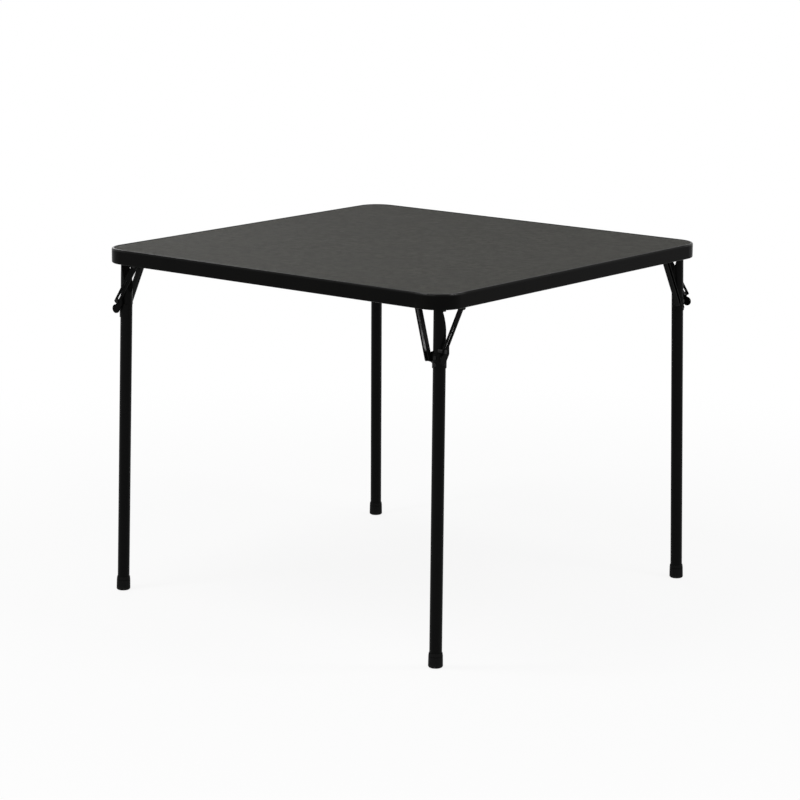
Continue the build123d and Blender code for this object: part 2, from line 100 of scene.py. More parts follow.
# %% Node helpers
class Term:
    """What leaves a socket, used in sums as a number is."""

    def __init__(self, tree, socket):
        self.tree = tree
        self.socket = socket

    def other(self, name):
        """Another output of the same node."""
        return Term(self.tree, self.socket.node.outputs[name])

    def sum(self, operation, first, second):
        return self.tree.node("ShaderNodeMath", {"operation": operation}, {0: first, 1: second})

    def __add__(self, other):
        return self.sum("ADD", self, other)

    def __radd__(self, other):
        return self.sum("ADD", other, self)

    def __sub__(self, other):
        return self.sum("SUBTRACT", self, other)

    def __rsub__(self, other):
        return self.sum("SUBTRACT", other, self)

    def __mul__(self, other):
        return self.sum("MULTIPLY", self, other)

    def __rmul__(self, other):
        return self.sum("MULTIPLY", other, self)

    def __truediv__(self, other):
        return self.sum("DIVIDE", self, other)

    def most(self, other):
        """The larger of the two."""
        return self.sum("MAXIMUM", self, other)

    def step(self, low, high):
        """Nothing below low, one above high, and a smooth rise between."""
        return self.tree.node("ShaderNodeMapRange", {"interpolation_type": "SMOOTHSTEP"},
                              {"Value": self, "From Min": low, "From Max": high})


class Tree:
    """A node tree, with one method that adds a node of any type."""

    def __init__(self, tree):
        self.tree = tree

    def node(self, kind, settings=None, values=None, output=0):
        node = self.tree.nodes.new(kind)
        for name, value in (settings or {}).items():
            setattr(node, name, value)
        for name, value in (values or {}).items():
            if isinstance(value, Term):
                self.tree.links.new(value.socket, node.inputs[name])
            else:
                node.inputs[name].default_value = value
        return Term(self, node.outputs[output]) if node.outputs else node

    def mix(self, factor, first, second):
        """A blend of two colours, by a factor from 0 to 1."""
        return self.node("ShaderNodeMix", {"data_type": "RGBA"},
                         {0: factor, 6: first, 7: second}, output=2)


def grey(value, warmth=0.0):
    """A grey colour, a little yellower for a positive warmth."""
    return (value, value * (1 - warmth / 8), value * (1 - warmth), 1)


print("helpers ready")

# %% [markdown]
# ## Floor, world and light
# The table stood in a studio, on a floor and before a wall that both came out pure white. Piling
# up light would do that too, but it would bleach the table. So the lamps stay at the level where
# a colour shows as it is written, and the white comes from Light Path: a ray that leaves the
# camera, or that a glossy surface sends on, meets plain white, and all other rays meet soft
# light. Near the table the floor keeps a little of its real shading, so that the table still
# casts a shadow, and further out it turns plain white, so that no edge of it shows.

# %% World and floor
DIFFUSE_LEVEL = 0.52
FLOOR_SHADE = 0.86
FLOOR_WHITE_SHARE = 0.88
SHADOW_REACH = (0.8, 2.2)
FLOOR_SIZE = 60.0
FLOOR_DROP = 0.3 * MM


def seen_directly(tree):
    """One for the rays that have to meet the white background, and nothing for the others."""
    path = tree.node("ShaderNodeLightPath", output="Is Camera Ray")
    return path.most(path.other("Is Glossy Ray")).most(path.other("Is Transmission Ray"))


world = bpy.data.worlds.new("studio")
world.use_nodes = True
air = Tree(world.node_tree)
air.tree.nodes.clear()
strength = DIFFUSE_LEVEL + (1 - DIFFUSE_LEVEL) * seen_directly(air)
sky = air.node("ShaderNodeBackground", None, {"Color": grey(1.0), "Strength": strength})
air.node("ShaderNodeOutputWorld", None, {"Surface": sky})
scene.world = world

floor_paint = bpy.data.materials.new("studio_floor")
floor_paint.use_nodes = True
ground = Tree(floor_paint.node_tree)
ground.tree.nodes.clear()
shaded = ground.node("ShaderNodeBsdfDiffuse", None, {"Color": grey(FLOOR_SHADE)})
white = ground.node("ShaderNodeEmission", None, {"Color": grey(1.0), "Strength": 1.0})
spot = ground.node("ShaderNodeTexCoord", output="Object")
distance = ground.node("ShaderNodeVectorMath", {"operation": "LENGTH"}, {0: spot}, output="Value")
kept = (1.0 - distance.step(*SHADOW_REACH)) * (1 - FLOOR_WHITE_SHARE)
share = seen_directly(ground) * (1.0 - kept)
both = ground.node("ShaderNodeMixShader", None, {0: share, 1: shaded, 2: white})
ground.node("ShaderNodeOutputMaterial", None, {"Surface": both})

floor_mesh = bpy.data.meshes.new("studio_floor")
reach = FLOOR_SIZE / 2
floor_corners = [(-reach, -reach), (reach, -reach), (reach, reach), (-reach, reach)]
floor_mesh.from_pydata([(x, y, -FLOOR_DROP) for x, y in floor_corners], [], [(0, 1, 2, 3)])
floor_mesh.materials.append(floor_paint)
floor = bpy.data.objects.new("studio_floor", floor_mesh)
scene.collection.objects.link(floor)
print("floor side in metres:", FLOOR_SIZE)

# %% [markdown]
# Two long soft boxes hang over the table, one to the left and in front, one to the right and
# behind. The rolled lip of the rim mirrors the first one left of the near corner and the second
# one right of it, with a dark gap between, as in the photograph. A low box beyond the far side
# puts a sheen on the vinyl's left part. Area lamps are used because black satin paint shows
# little but the shape of its lamps.

# %% Lamps
LOOK_AT = Vector((0.2, -0.2, 0.7))
# Each box's place, its width and height in metres, and its watts.
SOFT_BOXES = {
    "left_box": (Vector((-0.55, -1.05, 2.6)), 0.35, 1.5, 24.0),
    "right_box": (Vector((1.25, 0.45, 2.5)), 0.3, 1.1, 13.0),
    "far_box": (Vector((-2.6, 1.4, 1.55)), 1.6, 1.0, 10.0),
}
for name, (place, width, height, watts) in SOFT_BOXES.items():
    lamp = bpy.data.lights.new(name, "AREA")
    lamp.shape = "RECTANGLE"
    lamp.size = width
    lamp.size_y = height
    lamp.energy = watts
    box = bpy.data.objects.new(name, lamp)
    box.matrix_world = Matrix.LocRotScale(place, (place - LOOK_AT).to_track_quat("Z", "Y"), None)
    scene.collection.objects.link(box)
print("lamps:", ", ".join(SOFT_BOXES))

# %% [markdown]
# ## A paint, with its patterns
# A finish here is a Principled shader with a few patterns in Object coordinates, so the grain is
# the same size on every piece and doesn't slide when a leg folds. What varies over the surface
# feeds the colour, the roughness and a bump, and what doesn't vary is typed on the shader itself.

# %% Paint class
class Paint(Tree):
    """A material: a Principled shader, and the patterns that feed it."""

    def __init__(self, name, fixed):
        self.material = bpy.data.materials.new(name)
        self.material.use_nodes = True
        super().__init__(self.material.node_tree)
        self.shader = self.tree.nodes["Principled BSDF"]
        for socket, value in fixed.items():
            self.shader.inputs[socket].default_value = value
        self.place = self.node("ShaderNodeTexCoord", output="Object")

    def stretched(self, x, y, z):
        """The place, stretched so that a pattern on it becomes streaks."""
        return self.node("ShaderNodeMapping", None, {"Vector": self.place, "Scale": (x, y, z)})

    def clouds(self, size, detail=3.0, roughness=0.5, place=None):
        """Soft noise whose patches are about as wide as size."""
        return self.node("ShaderNodeTexNoise", None, {
            "Vector": place or self.place, "Scale": 1 / size,
            "Detail": detail, "Roughness": roughness})

    def grain(self, size, place):
        """The creases between small pebbles: nothing on a crease, more inside a pebble."""
        return self.node("ShaderNodeTexVoronoi", {"feature": "DISTANCE_TO_EDGE"}, {
            "Vector": place, "Scale": 1 / size})

    def height(self):
        """How high a point is above the floor."""
        return self.node("ShaderNodeSeparateXYZ", None, {0: self.place}, output="Z")

    def relief(self, depth, heights, strength=1.0):
        """Bumps of that depth, in metres, from a pattern of heights between 0 and 1."""
        return self.node("ShaderNodeBump", None, {
            "Strength": strength, "Distance": depth, "Height": heights})

    def feed(self, **patterns):
        """Joins patterns to the shader's sockets: base, roughness, metallic, coat and normal."""
        sockets = {"base": "Base Color", "roughness": "Roughness", "metallic": "Metallic",
                   "coat": "Coat Weight", "normal": "Normal"}
        for name, pattern in patterns.items():
            self.tree.links.new(pattern.socket, self.shader.inputs[sockets[name]])
        return self


print("paint class ready")

# %% [markdown]
# ## Black satin enamel
# The rim, the legs and the hinge parts are steel, powder coated black. Real powder coat isn't
# smooth: it dries with a soft orange peel, holds a little dust, and gets paler where it is
# rubbed. One function makes it, because the pieces differ only in shade, gloss and rubbing, and
# the near stay also in a painted highlight.

# %% Enamel
PEEL_SIZE = 1.9 * MM
PEEL_DEPTH = 0.05 * MM
SHADE_DRIFT_SIZE = 70 * MM
SHADE_DRIFT = (0.8, 1.25)
DUST_SIZE = 0.7 * MM
DUST_SHARE = 0.35
DUST_PALER = 3.5
SCUFF_SIZE = 5.0 * MM
SCUFF_PATCH = 38 * MM
SCUFF_LENGTH = (1, 1, 0.16)
SCUFF_PALER = 3.0
PAINTED_HIGHLIGHT_SHADE = 0.8


def enamel(name, shade, gloss_roughness, specular, warmth=0.0, scuffs=0.3, painted_highlight=None):
    """Black powder coat: slow drift of shade, orange peel, dust, pale scuffs and an optional painted
    highlight.
    """
    paint = Paint(name, {"Specular IOR Level": specular})
    drift = paint.clouds(SHADE_DRIFT_SIZE)
    dust = paint.clouds(DUST_SIZE, detail=1.0).step(0.66, 0.76)
    scuff_streaks = paint.clouds(SCUFF_SIZE, detail=5.0, place=paint.stretched(*SCUFF_LENGTH))
    patches = paint.clouds(SCUFF_PATCH, detail=2.0).step(0.52, 0.7)
    scuffed = scuff_streaks.step(0.58, 0.72) * patches * scuffs
    dark, pale = (grey(shade * factor, warmth) for factor in SHADE_DRIFT)
    coat = paint.mix(drift, dark, pale)
    dusty = paint.mix(dust * DUST_SHARE, coat, grey(shade * DUST_PALER, 0.02))
    worn_and_highlit = paint.mix(scuffed, dusty, grey(shade * SCUFF_PALER))
    # Painted highlight: where the mask is, the coat is painted pale grey, standing in for light
    # caught there.
    if painted_highlight:
        worn_and_highlit = paint.mix(painted_highlight(paint) * scuff_streaks.step(0.2, 0.6), worn_and_highlit, grey(PAINTED_HIGHLIGHT_SHADE))
    peel = paint.clouds(PEEL_SIZE, detail=2.0)
    rough = gloss_roughness + (drift - 0.5) * 0.14 + scuffed * 0.25 + dust * 0.1
    return paint.feed(base=worn_and_highlit, roughness=rough, normal=paint.relief(PEEL_DEPTH, peel))


STAY_LOOK = {"shade": 0.0042, "gloss_roughness": 0.34, "specular": 0.06, "scuffs": 0.6}
rim_enamel = enamel("rim_enamel", shade=0.004, gloss_roughness=0.3, specular=0.026, warmth=0.06)
leg_enamel = enamel("leg_enamel", shade=0.0036, gloss_roughness=0.36, specular=0.04)
stay_enamel = enamel("stay_enamel", **STAY_LOOK)
strap_enamel = enamel("strap_enamel", shade=0.0022, gloss_roughness=0.38, specular=0.025, scuffs=0.6)
rivet_enamel = enamel("rivet_enamel", shade=0.006, gloss_roughness=0.32, specular=0.12, scuffs=0.8)
print("enamels: rim, leg, stay, strap, rivet")

# %% [markdown]
# Sleeves and cards polish the rolled lip of the rim, so it shines more than the rest, and most
# where a corner's bend begins and ends, since the lip stands a little proud there. A clear coat
# does that. Its weight grows with the height, because the lip is the rim's highest part, and
# with the sum of the distances along X and Y, which is largest at the corners.

# %% Polished lip
LIP_START = 704.6 * MM
LIP_END = 706.2 * MM
LIP_POLISH = 0.1
CORNER_POLISH = 0.22
BEND_START = (792 * MM, 808 * MM)
BEND_MIDDLE = (830 * MM, 833.5 * MM)
POLISH_ROUGHNESS = 0.2
rim_enamel.shader.inputs["Coat Roughness"].default_value = POLISH_ROUGHNESS


def bend_ends(paint):
    """One where a corner's bend begins and ends, and nothing in its middle and along a side."""
    axes = paint.node("ShaderNodeVectorMath", {"operation": "ABSOLUTE"}, {0: paint.place})
    split = paint.node("ShaderNodeSeparateXYZ", None, {0: axes})
    reach = split + split.other("Y")
    return reach.step(*BEND_START) * (1.0 - reach.step(*BEND_MIDDLE))


lip = rim_enamel.height().step(LIP_START, LIP_END)
rim_enamel.feed(coat=lip * (LIP_POLISH + bend_ends(rim_enamel) * CORNER_POLISH))
print("lip polished from height in mm:", round(LIP_START / MM, 1))

# %% [markdown]
# The inside of the stay next to the camera gets a painted highlight: its open side is painted
# pale grey between black edges, palest near the foot, for the light that the channel catches
# there. A point is inside the channel when it is near the middle plane of the channel and between
# its floor and its edges, so the mask measures the point along those two directions, and its
# height.

# %% Painted highlight in a stay
CHANNEL_ACROSS = (0.9383, 0.0434, 0.3431)
CHANNEL_MIDDLE = 540.5 * MM
CHANNEL_HALF = 3.3 * MM
CHANNEL_OUT = (-0.0014, -0.9916, 0.1293)
CHANNEL_FLOOR = 478.67 * MM
CHANNEL_EDGE = 484.2 * MM
CHANNEL_END = (596 * MM, 600 * MM)
CHANNEL_FOOT = 600 * MM
CHANNEL_HEAD = 680 * MM
HEAD_HIGHLIGHT_CUT = 0.5
CHANNEL_BLUR = 0.2 * MM


def channel_highlight_mask(paint):
    """Where the near stay's channel gets its painted highlight: one inside it, halved towards the
    top, nothing elsewhere.
    """
    dot = {"operation": "DOT_PRODUCT"}
    across = paint.node("ShaderNodeVectorMath", dot, {0: paint.place, 1: CHANNEL_ACROSS}, "Value")
    out = paint.node("ShaderNodeVectorMath", dot, {0: paint.place, 1: CHANNEL_OUT}, "Value")
    side = across - CHANNEL_MIDDLE
    beside = side.most(0 - side).step(CHANNEL_HALF + CHANNEL_BLUR, CHANNEL_HALF + 2 * CHANNEL_BLUR)
    past = out.step(CHANNEL_FLOOR - 2 * CHANNEL_BLUR, CHANNEL_FLOOR - CHANNEL_BLUR)
    deep = 1.0 - out.step(CHANNEL_EDGE - CHANNEL_BLUR, CHANNEL_EDGE + CHANNEL_BLUR)
    height = paint.height()
    # Painted highlight by height: none below the foot, full just above it, halved towards the head.
    highlight_share = height.step(*CHANNEL_END) * (1.0 - height.step(CHANNEL_FOOT, CHANNEL_HEAD) * HEAD_HIGHLIGHT_CUT)
    return past * deep * highlight_share * (1.0 - beside)


# The near stay is a lit copy of the stay enamel, with a painted highlight in its channel.
near_stay_enamel = enamel("near_stay_enamel", painted_highlight=channel_highlight_mask, **STAY_LOOK)
print("enamel with a thin place: near stay")

# %% [markdown]
# ## Zinc, rubber and fibreboard
# The pins and screws are zinc plated, which is a bright grey metal with fine crystals and cloudy
# white patches. The feet are moulded rubber, matt, with dust on them near the floor and a groove
# under the collar, painted dark as its shade. The panel is hardboard, and its back has the print
# of the wire screen that it was pressed on: a square weave about a millimetre wide, over brown
# fibres. A wave texture crossed with another draws that print, and stretched noise draws the
# fibres.

# %% Zinc
SPANGLE_SIZE = 1.4 * MM
SPANGLE_DEPTH = 0.02 * MM
SPANGLE_DARK = grey(0.42, 0.01)
SPANGLE_BRIGHT = grey(0.62, 0.02)
BLOOM_SIZE = 6 * MM
BLOOM_SHADE = grey(0.66)
BLOOM_SHARE = 0.5


def zinc_plate():
    """Zinc plating: crystals of two greys, with a white bloom that is less of a metal."""
    paint = Paint("zinc_plate", {"Specular IOR Level": 0.5})
    crystals = paint.node("ShaderNodeTexVoronoi", {"feature": "F1"},
                          {"Vector": paint.place, "Scale": 1 / SPANGLE_SIZE})
    cloudy = paint.clouds(BLOOM_SIZE, detail=4.0).step(0.48, 0.72)
    metal = paint.mix(crystals, SPANGLE_DARK, SPANGLE_BRIGHT)
    plated = paint.mix(cloudy * BLOOM_SHARE, metal, BLOOM_SHADE)
    rough = 0.34 + crystals * 0.12 + cloudy * 0.22
    metallic = 1.0 - cloudy * BLOOM_SHARE
    return paint.feed(base=plated, roughness=rough, metallic=metallic,
                      normal=paint.relief(SPANGLE_DEPTH, crystals))


zinc = zinc_plate()
print("zinc ready")

# %% Rubber
RUBBER_SHADE = 0.0062
RUBBER_DRIFT_SIZE = 9 * MM
RUBBER_DRIFT = (0.85, 1.3)
PORE_SIZE = 0.9 * MM
FLOOR_DUST_SIZE = 3 * MM
FLOOR_DUST = grey(0.05, 0.05)
DUSTY_HEIGHT = 9 * MM
SHOULDER_HEIGHT = 21.6 * MM
SHOULDER_LINE = 1.4 * MM
RUBBER_RELIEF = 0.3 * MM


def foot_rubber():
    """Moulded rubber: pores, dust near the floor, and a groove under the collar in painted shade."""
    paint = Paint("foot_rubber", {"Specular IOR Level": 0.06})
    pores = paint.clouds(PORE_SIZE, detail=4.0, roughness=0.65)
    drift = paint.clouds(RUBBER_DRIFT_SIZE)
    low = 1.0 - paint.height().step(0.0, DUSTY_HEIGHT)
    dust = low * paint.clouds(FLOOR_DUST_SIZE, detail=4.0).step(0.35, 0.75)
    base = paint.mix(drift, *(grey(RUBBER_SHADE * factor) for factor in RUBBER_DRIFT))
    dusty = paint.mix(dust * 0.5, base, FLOOR_DUST)
    aside = paint.height() - SHOULDER_HEIGHT
    # Painted shade: a band under the collar is painted darker for the shade in its groove, and the
    # bump cuts the groove too.
    line = 1.0 - aside.most(0 - aside).step(SHOULDER_LINE / 2, SHOULDER_LINE)
    groove_shaded = paint.mix(line * 0.85, dusty, grey(RUBBER_SHADE / 5))
    rough = 0.62 + pores * 0.14 + dust * 0.1
    relief = paint.relief(RUBBER_RELIEF, pores * 0.2 - line * 0.8)
    return paint.feed(base=groove_shaded, roughness=rough, normal=relief)


rubber = foot_rubber()
print("rubber ready")

# %% Fibreboard
SCREEN_PITCH = 1.3 * MM
FIBRE_SIZE = 0.8 * MM
FLECK_SIZE = 2.2 * MM
STAIN_SIZE = 160 * MM
BOARD_RELIEF = 0.18 * MM
FIBRE_DARK = (0.075, 0.042, 0.022, 1)
FIBRE_PALE = (0.2, 0.125, 0.07, 1)
STAIN_BROWN = (0.09, 0.052, 0.028, 1)
FLECK_BROWN = (0.035, 0.02, 0.012, 1)
PRINT_BROWN = (0.05, 0.03, 0.017, 1)
WAVE_SCALE = math.pi / (10 * SCREEN_PITCH)


def fibreboard():
    """The back of hardboard: fibres, flecks and stains, under the print of a wire screen."""
    paint = Paint("fibreboard", {"Specular IOR Level": 0.2})
    weave = {"wave_type": "BANDS", "wave_profile": "SIN"}
    waves = [paint.node("ShaderNodeTexWave", {**weave, "bands_direction": axis}, {
        "Vector": paint.place, "Scale": WAVE_SCALE, "Distortion": 0.3}, output="Fac")
        for axis in ("X", "Y")]
    screen = waves[0] * waves[1]
    fibres = paint.clouds(FIBRE_SIZE, detail=5.0, roughness=0.7, place=paint.stretched(1, 0.25, 1))
    flecks = paint.clouds(FLECK_SIZE, detail=3.0, place=paint.stretched(0.35, 1, 1)).step(0.6, 0.72)
    stains = paint.clouds(STAIN_SIZE, detail=4.0)
    pulp = paint.mix(fibres, FIBRE_DARK, FIBRE_PALE)
    stained = paint.mix(stains.step(0.35, 0.7) * 0.5, pulp, STAIN_BROWN)
    flecked = paint.mix(flecks * 0.4, stained, FLECK_BROWN)
    printed = paint.mix(screen * 0.35, flecked, PRINT_BROWN)
    rough = 0.72 + fibres * 0.15
    relief = paint.relief(BOARD_RELIEF, fibres * 0.4 + (1.0 - screen) * 0.6)
    return paint.feed(base=printed, roughness=rough, normal=relief)


board = fibreboard()
print("fibreboard ready")

# %% [markdown]
# ## Dressing the pieces of the frame
# Each node of the frame keeps its mesh and gets a finish by its name, mostly without the corner
# that ends it. The vinyl and the foam are left out, as a soft piece, made below, stands for them.

# %% Dress the frame
FINISHES = {
    "rim_frame": rim_enamel,
    "hinge_bracket": rim_enamel,
    "leg_tube": leg_enamel,
    "leg_saddle": leg_enamel,
    "side_stay": stay_enamel,
    "side_stay_front_right": near_stay_enamel,
    "lock_strap": strap_enamel,
    "saddle_rivets": rivet_enamel,
    "slot_rivet": rivet_enamel,
    "strap_pivot_rivet": rivet_enamel,
    "hinge_pin": zinc,
    "panel_screws": zinc,
    "panel_board": board,
    "foot_cap": rubber,
}
CORNERS = ("front_left", "front_right", "back_right", "back_left")


def plain_name(node):
    """A node's name without its corner."""
    for corner in CORNERS:
        node = node.removesuffix("_" + corner)
    return node


for node, piece in nodes.items():
    finish = FINISHES.get(node) or FINISHES.get(plain_name(node))
    if finish:
        piece.data.materials.clear()
        piece.data.materials.append(finish.material)
print("undressed:", [node for node in nodes if plain_name(node) not in FINISHES])

# %% [markdown]
# ## The vinyl finish
# The top is dark grey vinyl with a fine pebble grain. Seen along the surface it is matt, and it
# has faint cloudy patches and short rubs from years of cards and glasses. The pebbles are a
# Voronoi pattern, warped a little by noise so that no two look alike, and the creases between
# them are painted darker, as painted shade. The rubs are noise stretched along the table, in a
# few patches only.

# %% Vinyl finish
PEBBLE_SIZE = 1.3 * MM
PEBBLE_DEPTH = 0.09 * MM
WARP_SIZE = 3 * MM
WARP_REACH = 0.9 * MM
CLOUD_SIZE = 90 * MM
MOTTLE_SIZE = 15 * MM
RUB_SIZE = 3.5 * MM
RUB_PATCH = 120 * MM
VINYL_SHADE = 0.049
VINYL_WARMTH = 0.14


def vinyl_grey(factor):
    """The vinyl's shade times a factor."""
    return grey(VINYL_SHADE * factor, VINYL_WARMTH)


def grained_vinyl():
    """Matt vinyl: warped pebbles with creases in painted shade, clouds, mottling and pale rubs."""
    paint = Paint("grained_vinyl", {"Specular IOR Level": 0.035})
    wander = paint.node("ShaderNodeTexNoise", None, {
        "Vector": paint.place, "Scale": 1 / WARP_SIZE, "Detail": 2.0}, output="Color")
    shifted = paint.node("ShaderNodeVectorMath", {"operation": "MULTIPLY_ADD"}, {
        0: wander, 1: (WARP_REACH,) * 3, 2: paint.place})
    pebbles = paint.grain(PEBBLE_SIZE, shifted).step(0.0, 0.28)
    clouds = paint.clouds(CLOUD_SIZE, detail=4.0, roughness=0.6)
    mottle = paint.clouds(MOTTLE_SIZE, detail=6.0, roughness=0.72)
    rub_streaks = paint.clouds(RUB_SIZE, detail=4.0, place=paint.stretched(0.12, 1, 1))
    rubs = rub_streaks.step(0.55, 0.75) * paint.clouds(RUB_PATCH).step(0.5, 0.68)
    creases = 1.0 - pebbles
    even = paint.mix(clouds.step(0.25, 0.75), vinyl_grey(0.86), vinyl_grey(1.14))
    mottled = paint.mix(mottle.step(0.34, 0.66) * 0.75, even, vinyl_grey(0.6))
    rubbed = paint.mix(rubs * 0.35, mottled, vinyl_grey(1.9))
    # Painted shade: the creases between the pebbles are painted darker.
    groove_shaded = paint.mix(creases * 0.3, rubbed, grey(VINYL_SHADE * 0.55))
    rough = 0.6 + creases * 0.15 - rubs * 0.12 + (clouds - 0.5) * 0.12
    relief = paint.relief(PEBBLE_DEPTH, pebbles * 0.8 + mottle * 0.2)
    return paint.feed(base=groove_shaded, roughness=rough, normal=relief)


vinyl = grained_vinyl()
print("vinyl ready")

# %% [markdown]
# ## The padded top
# On the real table a sheet of vinyl is pulled over thin foam and a board, rolled round the
# board's edge and turned under as a hem. A cloth simulation would pull it nearly flat again, so
# the skin is modelled directly, as rings that run round the table: under the hem, out to the
# edge, up the side, round the rolled edge and in to the middle. The foam makes it stand a little
# full, a breath uneven, and the hem has small pleats where it turns a corner. A second, inner
# skin closes it, so that it is a real sheet with a thickness.

# %% Rings of the padded top
cover_low, cover_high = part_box("vinyl_cover")
board_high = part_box("panel_board")[1]
COVER_HALF = cover_high.x
COVER_CORNER = 44.6 * MM
SKIN = COVER_HALF - board_high.x
HEM_WIDTH = 26 * MM
HEM_HIDDEN = 15.5 * MM
HEM_RISE = 4 * MM
FOLD_RADIUS = 0.5 * MM
FOLD_KEPT = 1 / 5
ROLL_RADIUS = 1.9 * MM
CROWN = 0.38 * MM
CROWN_REACH = 11 * MM
UNEVEN = 0.13 * MM
UNEVEN_SIZE = 120 * MM
UNEVEN_SLICE = 0.3
MIDDLE_ROUNDNESS = 1 / 20
PLEAT_DEPTH = 0.35 * MM
PLEATS_PER_CORNER = 5
SIDE_STEPS = 40
CORNER_STEPS = 12
ARC_STEPS = 6
TOP_STEP = 18 * MM
FIRST_TOP_STEPS = (2 * MM, 5 * MM, 9 * MM, 14 * MM, 20 * MM, 28 * MM)


def ring_points(half, radius):
    """The points of a rounded square, with the angle of each on its corner or None."""
    points = []
    for quarter in range(4):
        spin = Matrix.Rotation(quarter * math.pi / 2, 2)
        centre = half - radius
        for step in range(CORNER_STEPS + 1):
            angle = math.pi / 2 * step / CORNER_STEPS
            point = Vector((centre + radius * math.cos(angle), centre + radius * math.sin(angle)))
            points.append((spin @ point, angle))
        for step in range(1, SIDE_STEPS):
            across = centre - 2 * centre * step / SIDE_STEPS
            points.append((spin @ Vector((across, half)), None))
    return points


def skin_profile(sunk):
    """Insets and heights from the hem's inner edge to the middle, for a skin sunk that deep."""
    bottom = cover_low.z + sunk
    top = cover_high.z - sunk
    fold = max(FOLD_RADIUS - sunk, FOLD_RADIUS * FOLD_KEPT)
    roll = ROLL_RADIUS - sunk
    profile = [(HEM_WIDTH, bottom), (HEM_HIDDEN + HEM_RISE, bottom), (HEM_HIDDEN, bottom)]
    for step in range(ARC_STEPS + 1):
        angle = math.pi / 2 * step / ARC_STEPS
        profile.append((sunk + fold * (1 - math.sin(angle)), bottom + fold * (1 - math.cos(angle))))
    for step in range(ARC_STEPS + 1):
        angle = math.pi / 2 * step / ARC_STEPS
        profile.append((sunk + roll * (1 - math.cos(angle)), top - roll * (1 - math.sin(angle))))
    profile += [(sunk + roll + inset, top) for inset in FIRST_TOP_STEPS]
    inset = profile[-1][0] + TOP_STEP
    while inset < COVER_HALF - TOP_STEP / 2:
        profile.append((inset, top))
        inset += TOP_STEP
    return profile


def soft_height(x, y, inset, height, angle):
    """The height of a point of the skin, with the foam's fullness and the hem's pleats."""
    if height > board_high.z:
        full = 1 - math.exp(-max(inset - ROLL_RADIUS, 0) / CROWN_REACH)
        bumps = noise.noise(Vector((x / UNEVEN_SIZE, y / UNEVEN_SIZE, UNEVEN_SLICE)))
        return height + full * (CROWN + UNEVEN * bumps)
    if angle is not None and inset > HEM_HIDDEN:
        pleat = max(math.sin(4 * PLEATS_PER_CORNER * angle), 0)
        return height - PLEAT_DEPTH * pleat * (inset - HEM_HIDDEN) / (HEM_WIDTH - HEM_HIDDEN)
    return height


def add_skin(points, faces, sunk, outward):
    """Adds one skin to the mesh and returns its first ring, which is the hem's inner edge."""
    rings = []
    for inset, height in skin_profile(sunk):
        half = COVER_HALF - inset
        radius = max(COVER_CORNER - inset, half * MIDDLE_ROUNDNESS)
        ring = []
        for place, angle in ring_points(half, radius):
            ring.append(len(points))
            points.append((place.x, place.y, soft_height(place.x, place.y, inset, height, angle)))
        rings.append(ring)
    count = len(rings[0])
    for lower, upper in zip(rings, rings[1:]):
        for index in range(count):
            after = (index + 1) % count
            face = (lower[index], lower[after], upper[after], upper[index])
            faces.append(face if outward else face[::-1])
    middle = len(points)
    points.append((0, 0, soft_height(0, 0, COVER_HALF, cover_high.z - sunk, None)))
    for index in range(count):
        face = (rings[-1][index], rings[-1][(index + 1) % count], middle)
        faces.append(face if outward else face[::-1])
    return rings[0]


points, faces = [], []
outer_hem = add_skin(points, faces, 0.0, True)
inner_hem = add_skin(points, faces, SKIN, False)
for index in range(len(outer_hem)):
    after = (index + 1) % len(outer_hem)
    faces.append((outer_hem[after], outer_hem[index], inner_hem[index], inner_hem[after]))
top_mesh = bpy.data.meshes.new("padded_top")
top_mesh.from_pydata(points, [], faces)
top_mesh.materials.append(vinyl.material)
top_mesh.polygons.foreach_set("use_smooth", [True] * len(top_mesh.polygons))
padded_top = bpy.data.objects.new("padded_top", top_mesh)
scene.collection.objects.link(padded_top)
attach(padded_top, "top")
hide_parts("vinyl_cover", "foam_pad")
print("padded top: points", len(points), "faces", len(faces), "skin mm", round(SKIN / MM, 2))

# %% [markdown]
# ## Geometry Nodes for what repeats
# Staples, weld ripples and washers all repeat one small shape at many places. A tree of nodes
# does that: it makes the places, sets the shape on each, turns the copies into real geometry and
# gives them their material. The helper below starts such a tree with its named inputs, and
# another bakes the finished modifier into a plain mesh, which is all that leaves this file.

# %% Repeating helpers
class Repeat(Tree):
    """A Geometry Nodes tree with named inputs, and one output for the geometry."""

    def __init__(self, name, inputs):
        tree = bpy.data.node_groups.new(name, "GeometryNodeTree")
        tree.is_modifier = True
        super().__init__(tree)
        tree.interface.new_socket("Geometry", in_out="INPUT", socket_type="NodeSocketGeometry")
        tree.interface.new_socket("Geometry", in_out="OUTPUT", socket_type="NodeSocketGeometry")
        self.identifiers = {}
        for label, (kind, value) in inputs.items():
            socket = tree.interface.new_socket(label, in_out="INPUT", socket_type="NodeSocket" + kind)
            if value is not None:
                socket.default_value = value
            self.identifiers[label] = socket.identifier
        self.given = self.node("NodeGroupInput")

    def input(self, label):
        """One of the named inputs, as a term."""
        return self.given.other(label)

    def finish(self, instances):
        """Ends the tree: real geometry, then its material."""
        real = self.node("GeometryNodeRealizeInstances", None, {"Geometry": instances})
        painted = self.node("GeometryNodeSetMaterial", None, {
            "Geometry": real, "Material": self.input("Material")})
        self.node("NodeGroupOutput", None, {"Geometry": painted})
        return self


